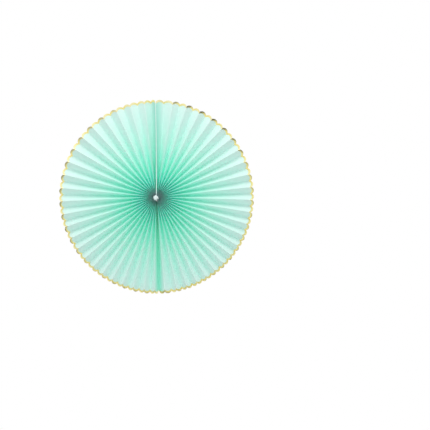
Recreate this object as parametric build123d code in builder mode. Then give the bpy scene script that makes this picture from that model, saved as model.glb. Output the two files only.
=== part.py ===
"""Paper fan rosette: one accordion-folded sheet, tied at its middle and fanned to a full circle.

The rosette hangs upright and faces -Y, with X to its right and Z up. The origin is on the hub's
axis, in the wall plane that the back of the rosette touches. Both halves of the sheet fan from
12 to 6 o'clock. The sheet's cut ends meet there, in front at the top seam and behind at the bottom
one, and strips of foam tape hold them together.
"""

import os
from math import asin, cos, pi, radians, sin, tan

from build123d import *

# Sheet, in millimetres and degrees
reach = 200.0  # hub to the scallop tips
panel_width = 20.0  # one fold to the next, measured on the flat sheet
paper = 0.25  # thickness
rim_lean = 43.0  # lean of the panels at the rim, which sets how many there are
spread = 0.14  # how much wider the pleats open at 12 o'clock than on average
end_opening = 0.78  # how far the panels at the seams open, as a share of the others
scallop_depth = 4.2  # height of the arc cut on each panel's outer end
throat_layers = 2.2  # thicknesses of paper between two folds where the pleats come clear
bands = 9  # flat facet pairs that carry a panel's twist from the throat to the rim
band_growth = 1.15  # how much longer the facets get towards the rim

# Foam tape in the two seams
tape_thickness = 1.4
tape_width = 3.0
tape_inset = 0.2  # below the raw edges that it lies between
tape_end_gap = 1.5  # short of the fold's outer end, and clear of the tie

# Flat cotton tie at the hub, knotted in front
tie_fit = 0.15  # clearance of the tie between the end panels
tie_seat = 0.05  # clearance of the tie round the stack
tie_thickness = 0.8
knot_width = 8.6
knot_thickness = 4.6
knot_sides = 5  # a flat tie pulls into a pentagon
knot_bevel = 1.4
tail_side = 7.0  # how far each loose end reaches sideways
tail_drop = 6.5  # how far each loose end hangs below the hub
tail_sag = 2.6  # drop of a loose end where it is half its way out

# Worked out from the above
pleats = round(pi * reach / (2 * panel_width * sin(radians(rim_lean))))
panels = 2 * pleats + 1
last_fold = panels - 1  # the raw edge after it is fold number `panels`
steps = panels - 2 + 2 * end_opening  # openings in half a turn
even_opening = pi / steps
throat_radius = throat_layers * paper / (even_opening * (1 - spread))
fold_reach = reach - scallop_depth
half_paper = paper / 2
half_shift = (tape_thickness + paper) / 2  # hub axis to the middle of a raw edge
stack_height = (panels - 1) * paper
stack_depth = panel_width + paper
tie_width = tape_thickness - 2 * tie_fit
FRONT, BACK = -1, 1
STACK = 0  # radius that stands for the pressed stack in the tie
fan_length = fold_reach - throat_radius
stations = [throat_radius + fan_length * (band / bands) ** band_growth for band in range(bands + 1)]


def share(fold):
    """How far round its half a fold or raw edge lies: 0 at the top seam and 1 at the bottom one."""
    if fold in (0, panels):
        return fold / panels
    return (fold - 1 + end_opening) / steps


def fold_angle(fold):
    """Clockwise from 12 o'clock, with the pleats opened wider at the top."""
    return pi * share(fold) + spread * sin(pi * share(fold))


def lean(opening, radius):
    """Angle between a panel and the hub axis, which grows towards the rim."""
    return asin(2 * radius * sin(opening / 2) / panel_width)


def leans(fold, radius):
    """Leans of the panels before and after a fold, of which one is an end panel at the seams."""
    opening = even_opening * (1 + spread * cos(pi * share(fold)))
    before = fold_angle(1) if fold == 1 else opening
    after = pi - fold_angle(last_fold) if fold == last_fold else opening
    return lean(before, radius), lean(after, radius)


def end_lean(fold, radius):
    """Lean of the end panel at a raw edge."""
    return leans(1, radius)[0] if fold == 0 else leans(last_fold, radius)[1]


def half_depth(fold, radius):
    """From the middle plane to a fold: a panel keeps its width, so leaning makes it shallower."""
    return panel_width / 2 * cos(max(leans(fold, radius)))


def end_depth(fold, radius):
    """From a raw edge to the fold of its end panel. In the stack it is level with the ridges."""
    return (panel_width + half_paper) * cos(end_lean(fold, radius))


# The back of the rosette is the tie or the lower raw edge, whichever reaches further
tie_back = stack_depth / 2 + tie_seat + tie_thickness
raw_edge_backs = [end_depth(panels, radius) - half_depth(last_fold, radius) for radius in stations]
middle_y = -max(tie_back, *raw_edge_backs)


def side(fold):
    """Even folds are ridges at the front and odd ones at the back."""
    return FRONT if fold % 2 == 0 else BACK


def fold_y(fold, radius):
    """Place of a fold or raw edge along the hub axis."""
    if fold == 0:
        return fold_y(1, radius) - end_depth(fold, radius)
    if fold == panels:
        return fold_y(last_fold, radius) + end_depth(fold, radius)
    return middle_y + side(fold) * half_depth(fold, radius)


def place(fold, radius, across, y):
    """Point of the right half beside a fold, `across` it in the clockwise direction."""
    if radius == STACK:
        return Vector(half_shift, y, stack_height / 2 * (1 - 2 * share(fold)) - across)
    angle = fold_angle(fold)
    x = half_shift + radius * sin(angle) + across * cos(angle)
    return Vector(x, y, radius * cos(angle) - across * sin(angle))


def ridge(fold, radius):
    """The blunt outer edge of a fold, as its two corners."""
    y = fold_y(fold, radius) + side(fold) * half_paper
    before, after = [half_paper * tan(pi / 4 - slope / 2) for slope in leans(fold, radius)]
    return [place(fold, radius, -before, y), place(fold, radius, after, y)]


def groove(fold, radius, skin):
    """The inner corner of a fold, where the inner faces of its two panels meet."""
    before, after = leans(fold, radius)
    floor = half_paper * (cos(before) + cos(after)) / sin(before + after)
    across = (half_paper - floor * sin(before)) / cos(before)
    return [place(fold, radius, across, fold_y(fold, radius) + skin * floor)]


def raw_edge(fold, radius, skin):
    """One corner of the sheet's cut end, square to the end panel."""
    slope = end_lean(fold, radius)
    y = fold_y(fold, radius) + skin * half_paper * sin(slope)
    return [place(fold, radius, -skin * half_paper * cos(slope), y)]


def corners(radius, skin):
    """Corners of one face of the paper at a radius, listed fold by fold."""
    rows = []
    for fold in range(panels + 1):
        if fold in (0, panels):
            rows.append(raw_edge(fold, radius, skin))
        elif side(fold) == skin:
            rows.append(ridge(fold, radius))
        elif radius == STACK:
            rows.append(None)
        else:
            rows.append(groove(fold, radius, skin))
    for fold, row in enumerate(rows):
        if row is None:  # a groove of the stack is pressed shut, level with the ridges beside it
            rows[fold] = [(rows[fold - 1][-1] + rows[fold + 1][0]) / 2]
    return rows


def scallop(panel, start, end):
    """Arc cut on a panel's outer end, with its tip at the full reach."""
    angle = (fold_angle(panel) + fold_angle(panel + 1)) / 2
    outward = Vector(sin(angle), 0, cos(angle))
    middle = (start + end) / 2
    climb = reach - (middle - Vector(half_shift, 0, 0)).dot(outward)
    return Edge.make_three_point_arc(start, middle + outward * climb, end)


def across_panels(rows):
    """Corner pairs at the two sides of each panel."""
    return [(rows[panel][-1], rows[panel + 1][0]) for panel in range(panels)]


def panel_facets(inner, outer):
    """Panels of the right half between two radii: flat facets, as paper bends but doesn't stretch."""
    faces = []
    for skin in (FRONT, BACK):
        lead = skin if inner == STACK else FRONT  # the facets meet on a line from this fold's outer end
        near, far = across_panels(corners(inner, skin)), across_panels(corners(outer, skin))
        for panel in range(panels):
            order = 1 if side(panel) == lead else -1
            (lead_in, other_in), (lead_out, other_out) = near[panel][::order], far[panel][::order]
            faces.append(Face(Wire.make_polygon([lead_in, lead_out, other_in])))
            faces.append(Face(Wire.make_polygon([other_in, lead_out, other_out])))
    return faces


def fold_strips(inner, outer):
    """Narrow faces of the right half between two radii: the blunt ridges and the sheet's cut ends."""
    ends = []
    for radius in (inner, outer):
        front, back = [corners(radius, skin) for skin in (FRONT, BACK)]
        pairs = [row for row in front + back if len(row) == 2]
        pairs += [(front[fold][0], back[fold][0]) for fold in (0, panels)]
        ends.append([Edge.make_line(*pair) for pair in pairs])
    return [Face.make_surface_from_curves(*pair) for pair in zip(*ends)]


def rim_faces():
    """Outer ends of the right half: the scallops on both faces and the cut edge between them."""
    front, back = [corners(fold_reach, skin) for skin in (FRONT, BACK)]
    faces = [Face(Wire.make_polygon(front[fold] + back[fold])) for fold in range(1, panels)]
    for panel, pairs in enumerate(zip(across_panels(front), across_panels(back))):
        arcs = [scallop(panel, *pair) for pair in pairs]
        faces += [Face(Wire([arc, Edge.make_line(*pair)])) for arc, pair in zip(arcs, pairs)]
        faces.append(Face.make_surface_from_curves(*arcs))
    return faces


def stack_faces():
    """Faces of the pressed stack between the two halves: front, back and the two seam floors."""
    front = [point for row in corners(STACK, FRONT)[:-1] for point in row]
    back = [point for row in corners(STACK, BACK)[1:] for point in row]
    front.insert(0, raw_edge(0, STACK, BACK)[0])
    back.append(raw_edge(panels, STACK, FRONT)[0])
    halves = [front, back, [front[0], back[0]], [front[-1], back[-1]]]
    loops = [half + [Vector(-p.X, p.Y, p.Z) for p in reversed(half)] for half in halves]
    return [Face(Wire.make_polygon(loop)) for loop in loops]


os.makedirs("parts", exist_ok=True)

# The folded sheet: faces between its folds, sewn into one solid with the pressed stack
right_half = rim_faces()
for inner, outer in zip([STACK] + stations, stations):
    right_half += panel_facets(inner, outer) + fold_strips(inner, outer)
left_half = [face.mirror(Plane.YZ) for face in right_half]
with BuildPart() as pleated_sheet:
    add(Solid(Shell(right_half + left_half + stack_faces())))
pleated_sheet.part.label = "pleated_sheet"
export_step(pleated_sheet.part, "parts/pleated_sheet.step")

# Tape between the raw edges of the two halves, in front at the top and behind at the bottom
tape_start = (stack_height + paper) / 2 + tie_seat + tie_thickness + tape_end_gap
tape_end = fold_reach - tape_end_gap
tape_radii = (tape_start, (tape_start + tape_end) / 2, tape_end)
for name, fold, inward in (("seam_tape_top", 0, 1), ("seam_tape_bottom", panels, -1)):
    along = cos(fold_angle(fold))
    outer_edge = [(fold_y(fold, radius) + inward * tape_inset, along * radius) for radius in tape_radii]
    inner_edge = [(y + inward * tape_width, z) for y, z in outer_edge]
    with BuildPart() as seam_tape:
        with BuildSketch(Plane.YZ):
            with BuildLine():
                ThreePointArc(*outer_edge)
                Line(outer_edge[-1], inner_edge[-1])
                ThreePointArc(*reversed(inner_edge))
                Line(inner_edge[0], outer_edge[0])
            make_face()
        extrude(amount=tape_thickness / 2, both=True)
    seam_tape.part.label = name
    export_step(seam_tape.part, f"parts/{name}.step")

# Tie: a flat band round the stack, with a knot and two loose ends in front of it
inner_size = (stack_depth + 2 * tie_seat, stack_height + paper + 2 * tie_seat)
outer_size = [length + 2 * tie_thickness for length in inner_size]
knot_back = middle_y - inner_size[0] / 2 - tie_thickness / 2
knot_middle = knot_back - knot_thickness / 2
with BuildPart() as centre_tie:
    with BuildSketch(Plane.YZ):
        with Locations((middle_y, 0)):
            RectangleRounded(*outer_size, tie_thickness)
            Rectangle(*inner_size, mode=Mode.SUBTRACT)
    extrude(amount=tie_width / 2, both=True)
    with BuildSketch(Plane.XZ.offset(-knot_middle)):
        with BuildLine():
            ThreePointArc((-tail_side, -tail_drop), (-tail_side / 2, -tail_sag), (0, 0))
            ThreePointArc((0, 0), (tail_side / 2, -tail_sag), (tail_side, -tail_drop))
        trace(line_width=tie_width)
    extrude(amount=tie_thickness / 2, both=True)
    with BuildSketch(Plane.XZ.offset(-knot_back)):
        RegularPolygon(knot_width / 2, knot_sides, rotation=90)
    knot = extrude(amount=knot_thickness)
    chamfer(knot.faces().sort_by(Axis.Y)[0].edges(), knot_bevel)
centre_tie.part.label = "centre_tie"
export_step(centre_tie.part, "parts/centre_tie.step")
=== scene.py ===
# %% [markdown]
# # A paper fan rosette
#
# The rosette is one long sheet of mint paper. It is folded like an accordion, pinched at its middle
# by a tie and fanned out on both sides, until its ends meet at 12 and at 6 o'clock. The long edges
# were cut to scallops and edged with gold foil before the folding.
#
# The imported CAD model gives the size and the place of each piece. This lesson dresses it: the sheet,
# the tie and the tape are worked out again as finer surfaces with numpy, and get their finishes.
# The rosette hangs upright and faces -Y. X runs to its right and Z up, all in metres.

import bpy
import numpy as np
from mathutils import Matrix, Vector


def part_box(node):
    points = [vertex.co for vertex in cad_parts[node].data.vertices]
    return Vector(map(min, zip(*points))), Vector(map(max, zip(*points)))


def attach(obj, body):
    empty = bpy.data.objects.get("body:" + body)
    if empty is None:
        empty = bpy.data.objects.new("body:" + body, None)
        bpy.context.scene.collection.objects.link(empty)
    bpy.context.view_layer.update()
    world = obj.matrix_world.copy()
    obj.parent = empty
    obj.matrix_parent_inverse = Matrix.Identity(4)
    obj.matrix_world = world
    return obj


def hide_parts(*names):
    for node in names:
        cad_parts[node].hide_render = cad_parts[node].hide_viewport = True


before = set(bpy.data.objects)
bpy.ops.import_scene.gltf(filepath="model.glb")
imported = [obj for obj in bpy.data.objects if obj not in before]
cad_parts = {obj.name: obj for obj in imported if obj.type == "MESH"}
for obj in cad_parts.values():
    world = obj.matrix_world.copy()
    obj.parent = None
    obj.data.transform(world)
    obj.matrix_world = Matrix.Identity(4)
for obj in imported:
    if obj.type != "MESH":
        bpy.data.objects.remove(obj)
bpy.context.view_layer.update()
print("CAD nodes:", sorted(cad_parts))

# %% [markdown]
# ## The sizes of the sheet
#
# Only a few sizes drive a pleated fan: how far it reaches, how wide a panel is and how many panels
# there are. Each end of a panel is cut to a shallow arc, the scallop. The radius of that arc follows
# from the panel's width and the scallop's height.

# %% Sizes of the sheet
MM = 0.001
REACH = 200 * MM
PANELS = 47
PANEL_WIDTH = 20 * MM
PAPER = 0.25 * MM
SCALLOP = 4.2 * MM
SCALLOP_RADIUS = ((PANEL_WIDTH / 2) ** 2 + SCALLOP**2) / (2 * SCALLOP)
LAST_FOLD = PANELS - 1
FLAT_LENGTH = PANELS * PANEL_WIDTH
print(f"{PANELS} panels of {PANEL_WIDTH / MM:.0f} mm, flat sheet {FLAT_LENGTH:.2f} x {2 * REACH:.2f} m")

# %% [markdown]
# ## Places from the frame
#
# Places are measured on the frame, so that the dressed rosette can't drift from the CAD model. The
# tape at the top gives the gap between the two halves of the sheet. The back of the tie lies in the
# wall plane, so the middle plane of the pleats is half a panel and a tie's thickness in front of it.

# %% Places
TIE_THICKNESS = 0.8 * MM
TIE_SEAT = 0.05 * MM
TAPE_LOW, TAPE_HIGH = (np.array(corner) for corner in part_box("seam_tape_top"))
TIE_LOW, TIE_HIGH = (np.array(corner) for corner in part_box("centre_tie"))
TAPE_THICKNESS = TAPE_HIGH[0] - TAPE_LOW[0]
SEAM_SHIFT = (TAPE_THICKNESS + PAPER) / 2
STACK_HEIGHT = LAST_FOLD * PAPER
MIDDLE_Y = TIE_HIGH[1] - TIE_THICKNESS - TIE_SEAT - (PANEL_WIDTH + PAPER) / 2
print(f"middle plane at y {MIDDLE_Y:.4f}, pressed stack {STACK_HEIGHT:.4f} high")

# %% [markdown]
# ## How the folds spread
#
# Look along the hub's axis: each half of the sheet has its folds spread over half a turn, like the
# ribs of a hand fan. The pleats of the real one open wider at the top, because the sheet was fanned
# from there, and `SPREAD` says by how much. The two panels at each seam open less than the others.
#
# A fan that was opened by hand is never quite even. Here the pleats sway to the right, more at the
# bottom than at the top, and so does the bottom seam, while the top one bends to the left.

# %% Angles of the folds
SPREAD = 0.14
END_OPENING = 0.78
STEPS = PANELS - 2 + 2 * END_OPENING
SWAY_TOP_LEFT, SWAY_BOTTOM_LEFT = np.radians([0.85, -2.2])
SWAY_TOP_RIGHT, SWAY_BOTTOM_RIGHT = np.radians([2.0, -3.0])
SEAM_SWAY_TOP, SEAM_SWAY_BOTTOM = np.radians([-0.65, -1.4])


def fold_share(fold):
    """How far round its half a fold or cut end lies, 0 at the top seam and 1 at the bottom one."""
    return np.clip((fold - 1 + END_OPENING) / STEPS, 0, 1)


def fold_angle(fold, half, radius):
    """From 12 o'clock, clockwise on the right half (1) and the other way on the left one (-1): an even
    spread over half a turn, plus a sine that widens the top, plus the sway to the right. The sway of
    the top seam grows as the square of the radius, so that the seam bends."""
    share = fold_share(fold)
    even = np.pi * share + SPREAD * np.sin(np.pi * share)
    top = np.where(half < 0, SWAY_TOP_LEFT, SWAY_TOP_RIGHT)
    bottom = np.where(half < 0, SWAY_BOTTOM_LEFT, SWAY_BOTTOM_RIGHT)
    sway = top + (bottom - top) * share
    bend = SEAM_SWAY_TOP * (radius / REACH) ** 2
    seam_sway = np.where(fold < PANELS / 2, bend, SEAM_SWAY_BOTTOM)
    from_seam = np.minimum(fold, PANELS - fold)
    return even + half * (seam_sway + (sway - seam_sway) * np.clip(from_seam / 2, 0, 1))


rim_angles = np.degrees(fold_angle(np.arange(PANELS + 1), 1, REACH))
print("cut ends and first folds of the right half, in degrees:", rim_angles[[0, 1, 2, -1]].round(2))

# %% [markdown]
# ## How the panels lean
#
# A panel can't stretch, so it keeps its width while its two folds draw apart towards the rim. By
# Pythagoras the zigzag then gets shallower: the pleats are as deep as a whole panel at the hub and
# lean over by more than 40 degrees at the rim.


# %% Depth of the zigzag
def panel_lean(opening, radius):
    """Lean of a panel: its width is the long side of a right angle, and the chord between its two
    folds, 2 r sin(opening / 2), is the side across from the lean."""
    return np.arcsin(2 * radius * np.sin(opening / 2) / PANEL_WIDTH)


def half_depth(fold, radius):
    """Half the depth of the zigzag: half a panel's width times the cosine of its lean."""
    opening = np.pi / STEPS * (1 + SPREAD * np.cos(np.pi * fold_share(fold)))
    return PANEL_WIDTH / 2 * np.cos(panel_lean(opening, radius))


def end_depth(fold, radius, half):
    """Depth of the end panel at a cut end: a panel's width times the cosine of its own lean."""
    before = fold_angle(np.where(fold == 0, 0, LAST_FOLD), half, radius)
    after = fold_angle(np.where(fold == 0, 1, PANELS), half, radius)
    return PANEL_WIDTH * np.cos(panel_lean(after - before, radius))


def fold_line_y(fold, radius, half):
    """Even folds are ridges in front of the middle plane and odd ones behind it. The sheet's cut ends
    stand a leaning panel's depth in front of the first fold and behind the last one."""
    inner = np.clip(fold, 1, LAST_FOLD)
    ridge = np.where(inner % 2 == 0, -1, 1) * half_depth(inner, radius)
    end = np.where(fold == 0, -1, 0) + np.where(fold == PANELS, 1, 0)
    return MIDDLE_Y + ridge + end * end_depth(fold, radius, half)


hub_and_rim = np.array([0, REACH - SCALLOP])
print("depth of the pleats at the hub and the rim:", (2 * half_depth(LAST_FOLD // 2, hub_and_rim)).round(4))

# %% [markdown]
# ## Where the folds run
#
# In the tie the panels are pressed into a flat stack. Between the stack and the throat, where the
# pleats come clear of each other, the fold lines blend from the one to the other.

# %% Fold lines
THROAT = 9.5 * MM


def fold_line(fold, along):
    """Point on a fold at a distance along the sheet, measured from its middle: negative on the left
    half. It is in the stack at first, then runs out along the fold's own angle."""
    half = np.sign(along)
    radius = np.abs(along)
    clear = np.clip((radius - SEAM_SHIFT) / (THROAT - SEAM_SHIFT), 0, 1)
    out = clear * np.maximum(radius, THROAT)
    angle = fold_angle(fold, half, radius)
    x = half * (np.minimum(radius, SEAM_SHIFT) + out * np.sin(angle))
    stack_z = STACK_HEIGHT / 2 * (1 - 2 * fold_share(fold))
    z = (1 - clear) * stack_z + out * np.cos(angle)
    return np.stack([x, fold_line_y(fold, radius, half), z], axis=-1)


side_fold = fold_line(np.array(LAST_FOLD // 2), np.array(REACH - SCALLOP))
print("the middle fold of the right half ends at", side_fold.round(4))

# %% [markdown]
# ## From the flat sheet to the folded one
#
# The sheet could be made by folding a plane with modifiers, panel by panel. Here the whole fold is
# one function instead: it takes a point of the flat sheet and gives its place on the rosette. The
# grid of points has a column for each step across the panels and a row for each step along them,
# from the left rim through the hub to the right rim, so that the surface is one piece, as the paper
# is. The columns crowd at the folds, where the paper turns in a small round instead of a sharp edge.

# %% Grid on the flat sheet
FOLD_ROUND = 0.025  # share of a panel that its rounded fold takes up on each side
FOLD_STEPS = np.array([0, 0.35, 1])  # shares of the rounded fold
PANEL_STEPS = np.linspace(0.1, 0.9, 9)  # shares of a panel
HUB_STEPS = np.array([0.35, 0.65])  # shares of the throat
ROWS_TO_RIM = 26
fold_columns = FOLD_STEPS * FOLD_ROUND
columns = np.concatenate([fold_columns, PANEL_STEPS, 1 - fold_columns[:0:-1]])
panel = np.append(np.repeat(np.arange(PANELS), len(columns)), LAST_FOLD)
across = np.append(np.tile(columns, PANELS), 1.0)
hub_rows = np.append(SEAM_SHIFT, HUB_STEPS * THROAT) / REACH
rim_rows = np.linspace(THROAT / REACH, 1, ROWS_TO_RIM)
half_rows = np.concatenate([hub_rows, rim_rows])
rows = np.concatenate([-half_rows[::-1], [0.0], half_rows])
print(f"grid of {len(rows)} rows and {len(panel)} columns")


# %% Fold the grid
def scallop_tip(across):
    """Length of a panel at a share of its width: the arc's centre plus the height of a circle there."""
    off = (across - 0.5) * PANEL_WIDTH
    return REACH - SCALLOP_RADIUS + np.sqrt(SCALLOP_RADIUS**2 - off**2)


def round_fold(across):
    """The share across a panel, with its first and last stretch bent to a parabola, which meets the
    straight part at the same slope and lies level at the fold."""
    start = np.clip(FOLD_ROUND - across, 0, None)
    end = np.clip(FOLD_ROUND - (1 - across), 0, None)
    return across + (start**2 - end**2) / (2 * FOLD_ROUND)


def fold_sheet(panel, across, rows):
    """Place of every point of the flat sheet: straight from one fold line to the next at the same
    distance along the sheet, with the depth taken from the rounded share."""
    along = rows[:, None] * scallop_tip(across)[None, :]
    before = fold_line(panel[None, :], along)
    after = fold_line(panel[None, :] + 1, along)
    share = np.stack([across, round_fold(across), across], axis=-1)
    return before + (after - before) * share[None, :, :], along


middle_surface, along = fold_sheet(panel, across, rows)
print("folded sheet reaches", np.abs(middle_surface).max(axis=(0, 1)).round(4))

# %% [markdown]
# ## Faces on a grid
#
# Every surface of this lesson is a grid of points. Its faces only need the numbers of their corners,
# and numpy finds those for the whole grid at once. The UV map of a piece holds a place on its flat
# pattern, so that its finish can follow the paper or the cord.

# %% Mesh helpers
SHARP_EDGE = np.radians(50)


def grid_quads(numbers):
    """Corners of the faces of a grid of point numbers: each point, the next in its row, the one after
    it in the next row, and the one below the first."""
    corners = [numbers[:-1, :-1], numbers[:-1, 1:], numbers[1:, 1:], numbers[1:, :-1]]
    return np.stack(corners, axis=-1).reshape(-1, 4)


def grid_outline(numbers):
    """Numbers of the points round a grid, in the direction in which its faces run."""
    return np.concatenate([numbers[0, :-1], numbers[:-1, -1], numbers[-1, :0:-1], numbers[:0:-1, 0]])


def piece(name, points, faces, layout):
    """A smooth mesh object at the origin. Layout gives each point its place on the UV map."""
    mesh = bpy.data.meshes.new(name)
    mesh.from_pydata(points.reshape(-1, 3).tolist(), [], faces)
    corner_points = np.empty(len(mesh.loops), dtype=np.int32)
    mesh.loops.foreach_get("vertex_index", corner_points)
    uv = mesh.uv_layers.new(name="layout")
    uv.data.foreach_set("uv", layout.reshape(-1, 2)[corner_points].astype(np.float32).ravel())
    mesh.polygons.foreach_set("use_smooth", np.ones(len(mesh.polygons), dtype=bool))
    mesh.set_sharp_from_angle(angle=SHARP_EDGE)
    mesh.update()
    obj = bpy.data.objects.new(name, mesh)
    bpy.context.scene.collection.objects.link(obj)
    print(f"{name}: {len(mesh.vertices)} points, {len(mesh.polygons)} faces")
    return obj


# %% [markdown]
# ## Giving the paper its thickness
#
# A Solidify modifier could thicken the sheet. Doing it by hand takes a few lines and keeps control of
# the two faces, because the foil is printed on the front only. The direction across the paper is the
# cross product of the two directions along the grid. The two faces lie half a thickness to each side
# of the middle surface, and a strip of narrow faces round the outline closes the cut edge.


# %% The two faces of the paper
def across_paper(surface):
    """Unit direction out of the printed face: the step to the next column times the step to the
    next row."""
    to_next_row, to_next_column = np.gradient(surface, axis=(0, 1))
    direction = np.cross(to_next_column, to_next_row)
    return direction / np.linalg.norm(direction, axis=-1, keepdims=True)


offset = across_paper(middle_surface) * PAPER / 2
both_faces = np.stack([middle_surface + offset, middle_surface - offset])
place_across = np.broadcast_to((panel + across) / PANELS, along.shape)
flat_layout = np.stack([place_across, 0.5 + along / (2 * REACH)], axis=-1)
print("printed and plain face:", both_faces.shape)

# %% The folded sheet
numbers = np.arange(along.size).reshape(along.shape)
printed_face = grid_quads(numbers)
plain_face = printed_face[:, ::-1] + along.size
outline = grid_outline(numbers)
following = np.roll(outline, -1)
cut_edge = np.stack([following, outline, outline + along.size, following + along.size], axis=-1)
sheet = piece(
    "mint_sheet",
    both_faces,
    np.concatenate([printed_face, plain_face, cut_edge]).tolist(),
    np.stack([flat_layout, flat_layout]),
)

# %% [markdown]
# ## A profile carried along a path
#
# Tape and cord have the same profile all along. Blender could do this with a curve and a bevel
# object. Here the profile is carried along the path with numpy, which also gives a UV map of the
# length along it and the share round it.


# %% Profile
def rounded_outline(width, height, corner, n_round):
    """A rectangle with round corners: a circle cut into four quarters, which are moved apart."""
    turn = (np.arange(n_round) + 0.5) * 2 * np.pi / n_round
    circle = np.stack([np.cos(turn), np.sin(turn)], axis=-1)
    return corner * circle + np.sign(circle) * (np.array([width, height]) / 2 - corner)


# %% Carry a profile along a path
def path_direction(path, closed):
    """Unit direction along a path, from the points before and after each one."""
    step = np.roll(path, -1, axis=0) - np.roll(path, 1, axis=0) if closed else np.gradient(path, axis=0)
    return step / np.linalg.norm(step, axis=-1, keepdims=True)


def carried(name, path, profile, guide, closed=False, swell=1.0):
    """Carries a closed profile along a path. Its first axis is square to the path and to the guide,
    and its second lies as near the guide as it can. Swell scales the profile step by step. The
    layout holds the length along the path in metres and the share round the profile."""
    along = path_direction(path, closed)
    first = np.cross(guide, along)
    first = first / np.linalg.norm(first, axis=-1, keepdims=True)
    second = np.cross(along, first)
    size = np.broadcast_to(swell, len(path))[:, None, None] * profile[None, :, :]
    points = path[:, None, :] + size[..., :1] * first[:, None, :] + size[..., 1:] * second[:, None, :]
    n_steps, n_round = points.shape[:2]
    numbers = np.arange(n_steps * n_round).reshape(n_steps, n_round)
    tube = np.concatenate([numbers, numbers[:, :1]], axis=1)
    tube = np.concatenate([tube, tube[:1]]) if closed else tube
    ends = [] if closed else [numbers[0, ::-1].tolist(), numbers[-1].tolist()]
    length = np.append(0, np.cumsum(np.linalg.norm(np.diff(path, axis=0), axis=-1)))
    layout = np.stack(np.broadcast_arrays(length[:, None], np.arange(n_round) / n_round), axis=-1)
    return piece(name, points, grid_quads(tube).tolist() + ends, layout)


# %% [markdown]
# ## Foam tape in the seams
#
# The sheet's cut ends meet in the two seams. Pale mint foam tape between them holds each pair
# together. At the top the ends stand in front, so that the tape shows as a pale line from the hub to
# the rim. At the bottom they lie at the back of a groove, where little of the tape can be seen.
#
# A strip of tape is a rounded rectangle carried along the seam, and its depth follows the cut edge.

# %% Tape
TAPE_WIDTH = 3 * MM
TAPE_CORNER = 0.25 * MM
TAPE_INSET = 0.2 * MM
TAPE_STEPS = 48
TAPE_ROUND = 16
TOWARDS_WALL = np.array([0.0, 1.0, 0.0])
tape_profile = rounded_outline(TAPE_THICKNESS, TAPE_WIDTH, TAPE_CORNER, TAPE_ROUND)


def seam_path(node, cut_end, inward):
    """Middle line of a strip of tape: halfway between the cut ends of the two halves, and half a tape's
    width inside them."""
    low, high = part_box(node)
    radius = np.linspace(*np.sort(np.abs([low[2], high[2]])), TAPE_STEPS)
    path = (fold_line(np.array(cut_end), radius) + fold_line(np.array(cut_end), -radius)) / 2
    path[:, 1] += inward * (TAPE_INSET + TAPE_WIDTH / 2)
    return path[:: -1 if cut_end else 1]


top_path = seam_path("seam_tape_top", 0, 1)
bottom_path = seam_path("seam_tape_bottom", PANELS, -1)
tape_top = carried("foam_tape_top", top_path, tape_profile, TOWARDS_WALL)
tape_bottom = carried("foam_tape_bottom", bottom_path, tape_profile, TOWARDS_WALL)

# %% [markdown]
# ## The tie at the hub
#
# A flat white cotton cord pulls the folded sheet together. It runs round the pressed stack, in the
# slit between the two seams, and is knotted in front. The loop is a flat profile carried round a
# rectangle.

# %% Loop of the tie
TIE_WIDTH = 1.1 * MM
TIE_CORNER = 0.3 * MM
TIE_ROUND = 12
LOOP_STEPS = 48
ACROSS_SEAM = np.array([1.0, 0.0, 0.0])
loop_size = 2 * np.array([TIE_HIGH[1] - MIDDLE_Y, TIE_HIGH[2]]) - TIE_THICKNESS
loop_outline = rounded_outline(*loop_size, TIE_THICKNESS, LOOP_STEPS)
loop_path = np.insert(loop_outline + [MIDDLE_Y, 0], 0, 0, axis=1)
flat_cord = rounded_outline(TIE_THICKNESS, TIE_WIDTH, TIE_CORNER, TIE_ROUND)
tie_loop = carried("tie_loop", loop_path, flat_cord, ACROSS_SEAM, closed=True)

# %% [markdown]
# ## The knot
#
# The knot shows as a small round dot of white, a little below the hub's middle. It could be modelled
# by hand as a curve. A knot that winds round a ring has a short formula, so its cord is carried along
# that, and with five lobes it looks as round as the real one, which is pulled tight.

# %% Knot
KNOT_RADIUS = 5.0 * MM
KNOT_DEPTH = 4.6 * MM
KNOT_CORD = 1.5 * MM
KNOT_LOBE = 1.3 * MM
KNOT_LOBES = 5
KNOT_DROP = 2.0 * MM
KNOT_SHIFT = 1.4 * MM
KNOT_Y = TIE_LOW[1] + KNOT_DEPTH / 2
KNOT_STEPS = 180
CORD_ROUND = 20


def knot_path(n_steps):
    """A knot of five lobes: two turns round the middle while the cord goes in and out five times. The
    distance from the middle is a mean plus a cosine, and the depth is a sine of the same wave."""
    turn = np.linspace(0, 2 * np.pi, n_steps, endpoint=False)
    out = KNOT_RADIUS - KNOT_CORD - KNOT_LOBE + KNOT_LOBE * np.cos(KNOT_LOBES * turn)
    x = out * np.sin(2 * turn) - KNOT_SHIFT
    z = out * np.cos(2 * turn) - KNOT_DROP
    y = KNOT_Y - (KNOT_DEPTH / 2 - KNOT_CORD) * np.sin(KNOT_LOBES * turn)
    return np.stack([x, y, z], axis=-1)


round_cord = rounded_outline(2 * KNOT_CORD, 2 * KNOT_CORD, KNOT_CORD, CORD_ROUND)
tie_knot = carried("tie_knot", knot_path(KNOT_STEPS), round_cord, TOWARDS_WALL, closed=True)

# %% [markdown]
# ## The loose ends
#
# Two short ends of cord come out of the knot. They are thinner than the cord in the knot, where it
# lies doubled, and fray a little at the tip, which is why the profile swells there.

# %% Loose ends
END_STEPS = 24
END_ARCH = 0.8 * MM
END_THINNING = 0.36
END_FRAY = 0.12
FRAY_POWER = 6
RIGHT_END = (4.2 * MM, 4.2 * MM)
LEFT_END = (-2.2 * MM, 7.4 * MM)


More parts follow.
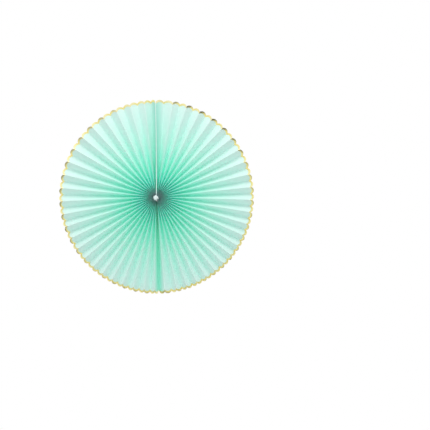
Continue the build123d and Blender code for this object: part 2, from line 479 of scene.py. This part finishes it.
def loose_end(name, side, drop):
    """A loose end: it leaves the knot sideways, falls off as the square of the way out and arches
    forwards by half a sine."""
    way = np.linspace(0, 1, END_STEPS)
    path = np.stack([side * way, KNOT_Y - END_ARCH * np.sin(np.pi * way), -drop * way**2], axis=-1)
    swell = END_THINNING + END_FRAY * way**FRAY_POWER
    return carried(name, path, round_cord, TOWARDS_WALL, swell=swell)


end_right = loose_end("tie_end_right", *RIGHT_END)
end_left = loose_end("tie_end_left", *LEFT_END)

# %% [markdown]
# ## Finishes
#
# A finish is a small network of nodes. A few helpers keep the networks short: one feeds a socket with
# a number or with another node's output, one adds a node, one adds a Math node and one carries a value
# from one range to another.


# %% Node helpers
def feed(tree, socket, value):
    """Links an output to a socket, or sets the socket to a plain value."""
    if isinstance(value, bpy.types.NodeSocket):
        tree.links.new(value, socket)
    else:
        socket.default_value = value


def add_node(tree, kind, **inputs):
    """Adds a node and feeds its named sockets."""
    node = tree.nodes.new(kind)
    for name, value in inputs.items():
        feed(tree, node.inputs[name.replace("_", " ")], value)
    return node


def compute(tree, operation, *values):
    """Adds a Math node and gives its result."""
    node = tree.nodes.new("ShaderNodeMath")
    node.operation = operation
    for socket, value in zip(node.inputs, values):
        feed(tree, socket, value)
    return node.outputs[0]


def remap(tree, value, start, end, low=0.0, high=1.0):
    """Carries a value from one range to another: low at the start, high at the end, and straight in
    between."""
    ends = {"From_Min": start, "From_Max": end, "To_Min": low, "To_Max": high}
    return add_node(tree, "ShaderNodeMapRange", Value=value, **ends).outputs[0]


def finish(name, roughness):
    """A new material, with its node tree and its shader."""
    material = bpy.data.materials.new(name)
    material.use_nodes = True
    shader = material.node_tree.nodes["Principled BSDF"]
    shader.inputs["Roughness"].default_value = roughness
    print("finish:", name)
    return material, material.node_tree, shader


# %% [markdown]
# ### Fine texture
#
# Seen close up, no paper or cord is perfectly smooth. A bump makes the shader tilt its normals as if
# the surface had small hills, and costs no faces. Its height comes from a noise for the fibres of
# the paper and the pores of the foam, and from a sine for the twist of the cord. The low places are
# also a little darker, so the same height tints the colour: a faint tone in the paper, and painted
# shade in the pores of the foam and the grooves of the cord.


# %% Bump helpers
def roughen(tree, shader, height, depth, strength):
    """Lets a height between 0 and 1 tilt the shader's normals, as hills of the given depth."""
    bump = add_node(tree, "ShaderNodeBump", Height=height, Distance=depth, Strength=strength)
    feed(tree, shader.inputs["Normal"], bump.outputs[0])


def grain(tree, place, size, detail):
    """A noise between 0 and 1 whose lumps are about as large as the given size, in metres."""
    noise = add_node(tree, "ShaderNodeTexNoise", Vector=place, Scale=1 / size, Detail=detail)
    return noise.outputs[0]


# %% Colour helpers
def tint(tree, colour, factor, low):
    """Darkens a colour down to `low` of itself where the factor is 0."""
    scaled = tree.nodes.new("ShaderNodeVectorMath")
    scaled.operation = "SCALE"
    feed(tree, scaled.inputs[0], colour)
    feed(tree, scaled.inputs["Scale"], remap(tree, factor, 0.0, 1.0, low))
    return scaled.outputs[0]


def blend_colours(tree, factor, first, second):
    """The first colour where the factor is 0 and the second where it is 1."""
    blend = tree.nodes.new("ShaderNodeMix")
    blend.data_type = "RGBA"
    for socket, value in zip(("Factor_Float", "A_Color", "B_Color"), (factor, first, second)):
        feed(tree, next(s for s in blend.inputs if s.identifier == socket), value)
    return next(s for s in blend.outputs if s.identifier == "Result_Color")


# %% [markdown]
# ### Where a point lies on the flat sheet
#
# The UV map of the paper is the flat sheet, so a material can find out how far a point lies from the
# hub, from the middle of its panel or from the sheet's cut ends, however the paper is folded.


# %% Place on the paper
def flat_place(tree):
    """Place on the flat sheet in metres: across the panels, and out from its middle line."""
    flat = add_node(tree, "ShaderNodeSeparateXYZ", Vector=tree.nodes.new("ShaderNodeUVMap").outputs[0])
    across = compute(tree, "MULTIPLY", flat.outputs[0], FLAT_LENGTH)
    along = compute(tree, "MULTIPLY_ADD", flat.outputs[1], 2 * REACH, -REACH)
    return across, compute(tree, "ABSOLUTE", along)


def side_of_panel(tree, across):
    """Distance from the middle line of a panel, negative on its first half."""
    panel_share = compute(tree, "FRACT", compute(tree, "DIVIDE", across, PANEL_WIDTH))
    return compute(tree, "MULTIPLY_ADD", panel_share, PANEL_WIDTH, -PANEL_WIDTH / 2)


# %% [markdown]
# ### The mint of the paper
#
# The paper is matt and takes its depth of colour from light that goes back and forth between the
# pleats: mint on mint gets greener towards the hub. The colour ramp below also paints shade into the
# mint: deeper towards the hub, and grey in the tie, where the pleats are pressed tight. It is paler
# towards the rim. Along each fold it is a touch paler, where the crease broke its surface.

# %% Mint by the distance from the hub
CREASE = 0.35 * MM
CREASE_WEAR = 0.14
BARE_PAPER = (0.93, 0.97, 0.95, 1)
# The deep and grey stops near the hub are painted shade.
MINT_AND_PAINTED_SHADE_BY_RADIUS = {
    4 * MM: (0.39, 0.64, 0.65, 1),
    11 * MM: (0.45, 0.86, 0.81, 1),
    18 * MM: (0.475, 0.95, 0.895, 1),
    24 * MM: (0.51, 0.972, 0.925, 1),
    34 * MM: (0.575, 0.99, 0.942, 1),
    60 * MM: (0.65, 0.995, 0.935, 1),
    110 * MM: (0.77, 0.99, 0.94, 1),
    REACH: (0.83, 0.975, 0.945, 1),
}


def mint_and_painted_shade(tree, out, side):
    """The mint with its painted shade, by the distance from the middle line, paler within a crease's width
    of a fold.
    """
    mint = add_node(tree, "ShaderNodeValToRGB", Fac=compute(tree, "DIVIDE", out, REACH))
    stops = mint.color_ramp.elements
    stops.remove(stops[-1])
    for radius, shade in MINT_AND_PAINTED_SHADE_BY_RADIUS.items():
        stops.new(radius / REACH).color = shade
    stops.remove(stops[0])
    fold = PANEL_WIDTH / 2
    crease = remap(tree, compute(tree, "ABSOLUTE", side), fold - CREASE, fold, 0.0, CREASE_WEAR)
    return blend_colours(tree, crease, mint.outputs[0], BARE_PAPER)


# %% [markdown]
# ### Painted shade at the taped ends
#
# Both end panels are painted deeper in colour the nearer they come to the cut end: painted shade for
# the grooves beside the tape. The effect is strongest near the hub and fades towards the rim.

# %% Taped ends
# Deeper colours for the end panels: painted shade beside the tape.
SEAM_PAINTED_SHADE_TOP = (0.30, 0.84, 0.71, 1)
SEAM_PAINTED_SHADE_BOTTOM = (0.36, 0.93, 0.80, 1)
SEAM_PAINTED_SHADE_AT_RIM = 0.6


def paint_shade_on_taped_ends(tree, colour, across, out):
    """Blends in painted shade, a deeper colour: by the share of the way from the first fold to the cut
    end, times a factor that falls in a straight line from 1 at the hub."""
    half_length = FLAT_LENGTH / 2
    from_middle = compute(tree, "ABSOLUTE", compute(tree, "SUBTRACT", across, half_length))
    taped = remap(tree, from_middle, half_length - PANEL_WIDTH, half_length)
    fading = compute(tree, "MULTIPLY_ADD", out, (SEAM_PAINTED_SHADE_AT_RIM - 1) / REACH, 1.0)
    at_bottom = compute(tree, "GREATER_THAN", across, half_length)
    seam_shade = blend_colours(tree, at_bottom, SEAM_PAINTED_SHADE_TOP, SEAM_PAINTED_SHADE_BOTTOM)
    return blend_colours(tree, compute(tree, "MULTIPLY", taped, fading), colour, seam_shade)


# %% [markdown]
# ### The gold edge
#
# A band of gold foil follows each scallop. It could be a strip of faces with a finish of its own, but
# it is print, so it is part of the paper's finish: a point is gold if the paper ends less than the
# band's width further out. Foil is metal, smoother than the paper and lets no light through.

# %% Gold
GOLD = (0.92, 0.86, 0.50, 1)
GOLD_BORDER = 4.6 * MM
GOLD_BLUR = 0.12 * MM
PAPER_ROUGHNESS = 0.7
FOIL_ROUGHNESS = 0.32


def gold_share(tree, out, side):
    """1 on the foil and 0 elsewhere: the arc's centre plus the height of a circle is where the paper
    ends, and the foil is where that is less than a border further out."""
    squares = compute(tree, "SUBTRACT", SCALLOP_RADIUS**2, compute(tree, "MULTIPLY", side, side))
    tip = compute(tree, "ADD", compute(tree, "SQRT", squares), REACH - SCALLOP_RADIUS)
    to_tip = compute(tree, "SUBTRACT", tip, out)
    return remap(tree, to_tip, GOLD_BORDER + GOLD_BLUR, GOLD_BORDER - GOLD_BLUR)


def gild(tree, shader, colour, gold):
    """Mixes the foil into the paper's colour and makes it metal, smoother than the paper."""
    feed(tree, shader.inputs["Metallic"], gold)
    gloss = remap(tree, gold, 0.0, 1.0, PAPER_ROUGHNESS, FOIL_ROUGHNESS)
    feed(tree, shader.inputs["Roughness"], gloss)
    return blend_colours(tree, gold, colour, GOLD)


# %% [markdown]
# ### Paper that lets light through
#
# Thin paper glows a little when it is lit from behind, so a share of a Translucent shader is mixed
# into it. Without that the shaded panels would be too dark. The printed and the plain face are the
# same paper and share one function.

# %% Paper
LIGHT_THROUGH = 0.26
FIBRE = 0.9 * MM
FIBRE_DETAIL = 5.0
FIBRE_SHADE = 0.985
FIBRE_RELIEF = 0.05 * MM
FIBRE_STRENGTH = 0.35


def paper_finish(name, foil):
    """Mint paper with fibres, with the gold edge on the printed face."""
    material, tree, shader = finish(name, PAPER_ROUGHNESS)
    across, out = flat_place(tree)
    side = side_of_panel(tree, across)
    spot = add_node(tree, "ShaderNodeCombineXYZ", X=across, Y=out)
    fibres = grain(tree, spot.outputs[0], FIBRE, FIBRE_DETAIL)
    colour = tint(tree, mint_and_painted_shade(tree, out, side), fibres, FIBRE_SHADE)
    colour = paint_shade_on_taped_ends(tree, colour, across, out)
    through = LIGHT_THROUGH
    if foil:
        gold = gold_share(tree, out, side)
        colour = gild(tree, shader, colour, gold)
        through = compute(tree, "MULTIPLY_ADD", gold, -LIGHT_THROUGH, LIGHT_THROUGH)
    feed(tree, shader.inputs["Base Color"], colour)
    roughen(tree, shader, fibres, FIBRE_RELIEF, FIBRE_STRENGTH)
    glow = add_node(tree, "ShaderNodeBsdfTranslucent", Color=colour)
    thin_paper = add_node(tree, "ShaderNodeMixShader", Fac=through)
    feed(tree, thin_paper.inputs[1], shader.outputs[0])
    feed(tree, thin_paper.inputs[2], glow.outputs[0])
    feed(tree, tree.nodes["Material Output"].inputs["Surface"], thin_paper.outputs[0])
    return material


printed_paper = paper_finish("mint_paper_gold_edge", foil=True)
plain_paper = paper_finish("mint_paper_plain", foil=False)

# %% [markdown]
# ### Cotton
#
# The tie is twisted from white cotton, so fine slanting grooves run round it. The UV map of a carried
# profile holds the length along it and the share round it, and a sine of their sum is a helix.

# %% Cotton
COTTON = (0.86, 0.99, 0.97)
COTTON_ROUGHNESS = 0.9
TWIST_PITCH = 1.6 * MM
GROOVE_PAINTED_SHADE = 0.90
GROOVE_RELIEF = 0.12 * MM
GROOVE_STRENGTH = 0.8
cotton, tree, shader = finish("white_cotton", COTTON_ROUGHNESS)
strand = add_node(tree, "ShaderNodeSeparateXYZ", Vector=tree.nodes.new("ShaderNodeUVMap").outputs[0])
turns = compute(tree, "MULTIPLY_ADD", strand.outputs[0], 1 / TWIST_PITCH, strand.outputs[1])
wave = compute(tree, "SINE", compute(tree, "MULTIPLY", turns, 2 * np.pi))
ply = compute(tree, "MULTIPLY_ADD", wave, 0.5, 0.5)
# The grooves of the twist are darkened: painted shade.
feed(tree, shader.inputs["Base Color"], tint(tree, COTTON, ply, GROOVE_PAINTED_SHADE))
roughen(tree, shader, ply, GROOVE_RELIEF, GROOVE_STRENGTH)

# %% [markdown]
# ### Foam
#
# The foam tape is pale mint with fine pores. The strip at the bottom seam lies deep in its groove, and
# its colour is darkened there as painted shade, most of all near the hub, where its UV map ends
# because the strip starts at the rim.

# %% Foam
FOAM_TOP = (0.82, 1.0, 0.95, 1)
# The bottom strip is the same foam: its two colours are painted shade.
FOAM_PAINTED_SHADE = (0.42, 0.98, 0.83, 1)
FOAM_DEEPEST_PAINTED_SHADE = (0.05, 0.30, 0.22, 1)
PAINTED_SHADE_FROM = 105 * MM
FOAM_ROUGHNESS = 0.85
PORE = 0.35 * MM
PORE_DETAIL = 2.0
PORE_PAINTED_SHADE = 0.93
PORE_RELIEF = 0.1 * MM
PORE_STRENGTH = 0.6


def foam_finish(name, outer, inner):
    """Foam with pores, in one colour at first, which then turns to another at the strip's far end."""
    material, tree, shader = finish(name, FOAM_ROUGHNESS)
    strip = add_node(tree, "ShaderNodeSeparateXYZ", Vector=tree.nodes.new("ShaderNodeUVMap").outputs[0])
    ramp = add_node(tree, "ShaderNodeValToRGB", Fac=compute(tree, "DIVIDE", strip.outputs[0], REACH))
    ramp.color_ramp.elements[0].position = PAINTED_SHADE_FROM / REACH
    ramp.color_ramp.elements[0].color = outer
    ramp.color_ramp.elements[1].color = inner
    place = tree.nodes.new("ShaderNodeTexCoord").outputs["Object"]
    pores = grain(tree, place, PORE, PORE_DETAIL)
    # The pores are darkened a little: painted shade.
    feed(tree, shader.inputs["Base Color"], tint(tree, ramp.outputs[0], pores, PORE_PAINTED_SHADE))
    roughen(tree, shader, pores, PORE_RELIEF, PORE_STRENGTH)
    return material


top_foam = foam_finish("pale_mint_foam", FOAM_TOP, FOAM_TOP)
foam_with_painted_shade = foam_finish("mint_foam_painted_shade", FOAM_PAINTED_SHADE, FOAM_DEEPEST_PAINTED_SHADE)

# %% [markdown]
# ## Dressing the pieces
#
# Each piece gets its finish and rides on a body, and the CAD node that it stands for is hidden. The
# sheet has two finishes: its printed face comes first in the mesh, and the plain face and the cut edge
# follow.


# %% Dress the pieces
def dress(obj, node, slot, *finishes):
    """Gives a piece its finishes, hangs it on the body's empty and hides the CAD node that it stands for.
    """
    for material in finishes:
        obj.data.materials.append(material)
    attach(obj, "root")
    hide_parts(node)


for obj in (tie_loop, tie_knot, end_right, end_left):
    dress(obj, "centre_tie", "cotton", cotton)
dress(tape_top, "seam_tape_top", "foam", top_foam)
dress(tape_bottom, "seam_tape_bottom", "foam", foam_with_painted_shade)
dress(sheet, "pleated_sheet", "paper", printed_paper, plain_paper)
face_counts = [len(printed_face), len(plain_face) + len(cut_edge)]
face_finish = np.repeat([0, 1], face_counts).astype(np.int32)
sheet.data.polygons.foreach_set("material_index", face_finish)

# %% [markdown]
# ## Light all round
#
# The rosette was lit softly, and its background is plain white. The world gives an even, soft light
# from all sides. It shows as pure white to the camera and in the foil, whatever its own strength is.

# %% World
WORLD_LIGHT = 0.70
WHITE = (1, 1, 1, 1)
scene = bpy.context.scene
scene.world = bpy.data.worlds.new("soft_white_room")
scene.world.use_nodes = True
tree = scene.world.node_tree
rays = tree.nodes.new("ShaderNodeLightPath").outputs
mirrored = compute(tree, "MAXIMUM", rays["Is Glossy Ray"], rays["Is Transmission Ray"])
seen = compute(tree, "MAXIMUM", rays["Is Camera Ray"], mirrored)
background = tree.nodes["Background"]
background.inputs["Color"].default_value = WHITE
feed(tree, background.inputs["Strength"], remap(tree, seen, 0.0, 1.0, WORLD_LIGHT))
print("world:", scene.world.name, WORLD_LIGHT)

# %% [markdown]
# ## A lamp from above
#
# One broad lamp above the camera makes the panels that look up brighter than those that look down,
# which brings out the pleats.

# %% Lamp
LAMP_WATTS = 11
LAMP_SIZE = (1.2, 0.8)
LAMP_PLACE = (0, -0.9, 1.3)
lamp_data = bpy.data.lights.new("overhead_softbox", "AREA")
lamp_data.shape = "RECTANGLE"
lamp_data.size, lamp_data.size_y = LAMP_SIZE
lamp_data.energy = LAMP_WATTS
lamp = bpy.data.objects.new("overhead_softbox", lamp_data)
lamp.location = LAMP_PLACE
lamp.rotation_euler = (-lamp.location).to_track_quat("-Z", "Y").to_euler()
scene.collection.objects.link(lamp)
print("lamp:", LAMP_WATTS, "W")

# %% [markdown]
# ## The floor
#
# The rosette hangs well above a plain pale floor. To the camera the floor glows a little, so that it
# looks as white as the background, and the light that it throws on the paper stays as it is.

# %% Floor
FLOOR_HEIGHT = -1.3
FLOOR_WIDTH = 5.0
FLOOR_FRONT = -2.5
FLOOR_BACK = 1.0
FLOOR_COLOUR = (0.92, 0.92, 0.92, 1)
FLOOR_ROUGHNESS = 0.8
FLOOR_LIFT = 0.26
side_x = FLOOR_WIDTH / 2
floor_plan = [(-side_x, FLOOR_FRONT), (side_x, FLOOR_FRONT), (side_x, FLOOR_BACK), (-side_x, FLOOR_BACK)]
floor_mesh = bpy.data.meshes.new("pale_floor")
floor_mesh.from_pydata([(x, y, FLOOR_HEIGHT) for x, y in floor_plan], [], [[0, 1, 2, 3]])
floor = bpy.data.objects.new("pale_floor", floor_mesh)
floor_finish, tree, shader = finish("pale_floor", FLOOR_ROUGHNESS)
shader.inputs["Base Color"].default_value = FLOOR_COLOUR
shader.inputs["Emission Color"].default_value = WHITE
seen = tree.nodes.new("ShaderNodeLightPath").outputs["Is Camera Ray"]
feed(tree, shader.inputs["Emission Strength"], compute(tree, "MULTIPLY", seen, FLOOR_LIFT))
floor_mesh.materials.append(floor_finish)
scene.collection.objects.link(floor)

# %% [markdown]
# ## Dark cards for the foil
#
# Metal shows what it mirrors, and in an all-white room gold looks flat. Photographers hold up dark
# cards beside shiny things. These cards do the same: they turn to the rosette and show only in its
# gloss, so they take no light from the paper and don't show to the camera.

# %% Cards
CARD_CORNERS = np.array([[-1, -1, 0], [1, -1, 0], [1, 1, 0], [-1, 1, 0]]) / 2


def dark_card(name, place, width, grey):
    """A square card: its corners times its width, turned so that its normal runs along the line from
    the hub to its middle, and moved there."""
    turn = np.array(Vector(place).to_track_quat("Z", "Y").to_matrix())
    mesh = bpy.data.meshes.new(name)
    mesh.from_pydata((CARD_CORNERS * width @ turn.T + place).tolist(), [], [[0, 1, 2, 3]])
    material = bpy.data.materials.new(name)
    material.use_nodes = True
    tree = material.node_tree
    glow = add_node(tree, "ShaderNodeEmission", Color=(grey, grey, grey, 1))
    feed(tree, tree.nodes["Material Output"].inputs["Surface"], glow.outputs[0])
    mesh.materials.append(material)
    card = bpy.data.objects.new(name, mesh)
    card.visible_camera = False
    card.visible_diffuse = False
    card.visible_transmission = False
    card.visible_shadow = False
    scene.collection.objects.link(card)
    print(f"{name}: {width} m wide")


dark_card("dark_card_right", place=(1.05, -0.15, -0.46), width=1.35, grey=0.0)
dark_card("dark_card_below", place=(-0.20, 0.0, -1.15), width=1.7, grey=0.18)
dark_card("dark_card_left", place=(-1.10, -0.05, -0.62), width=0.95, grey=0.36)

# %% [markdown]
# ## Bounces
#
# The light goes back and forth many times between the pleats before it comes out, and each time it
# gets greener. So the renderer is allowed many bounces.

# %% Bounces and view
MOST_BOUNCES = 24
PAPER_BOUNCES = 16
scene.cycles.max_bounces = MOST_BOUNCES
scene.cycles.diffuse_bounces = PAPER_BOUNCES
scene.view_settings.view_transform = "Standard"
print("bounces between the pleats:", PAPER_BOUNCES)

# %% [markdown]
# ## Camera
#
# The rosette is seen straight on through a long lens. It isn't in the middle of the picture, so the
# camera stands to its lower right and looks level. The distance follows from the scale: the picture
# is 430 pixels wide, and the rosette takes up about 194 of them.

# %% Camera
PICTURE = 430
ROSETTE_PIXELS = 194.2
HUB_PIXEL = (156.6, 196.8)
LENS = 120
pixel = 2 * REACH / ROSETTE_PIXELS
camera_data = bpy.data.cameras.new("camera")
camera_data.lens = LENS
camera = bpy.data.objects.new("camera", camera_data)
distance = PICTURE * pixel * LENS / camera_data.sensor_width
right, down = (PICTURE / 2 - place for place in HUB_PIXEL)
camera.location = (right * pixel, MIDDLE_Y - distance, -down * pixel)
camera.rotation_euler = (np.pi / 2, 0, 0)
scene.collection.objects.link(camera)
scene.camera = camera
print(f"camera {distance:.2f} m away")
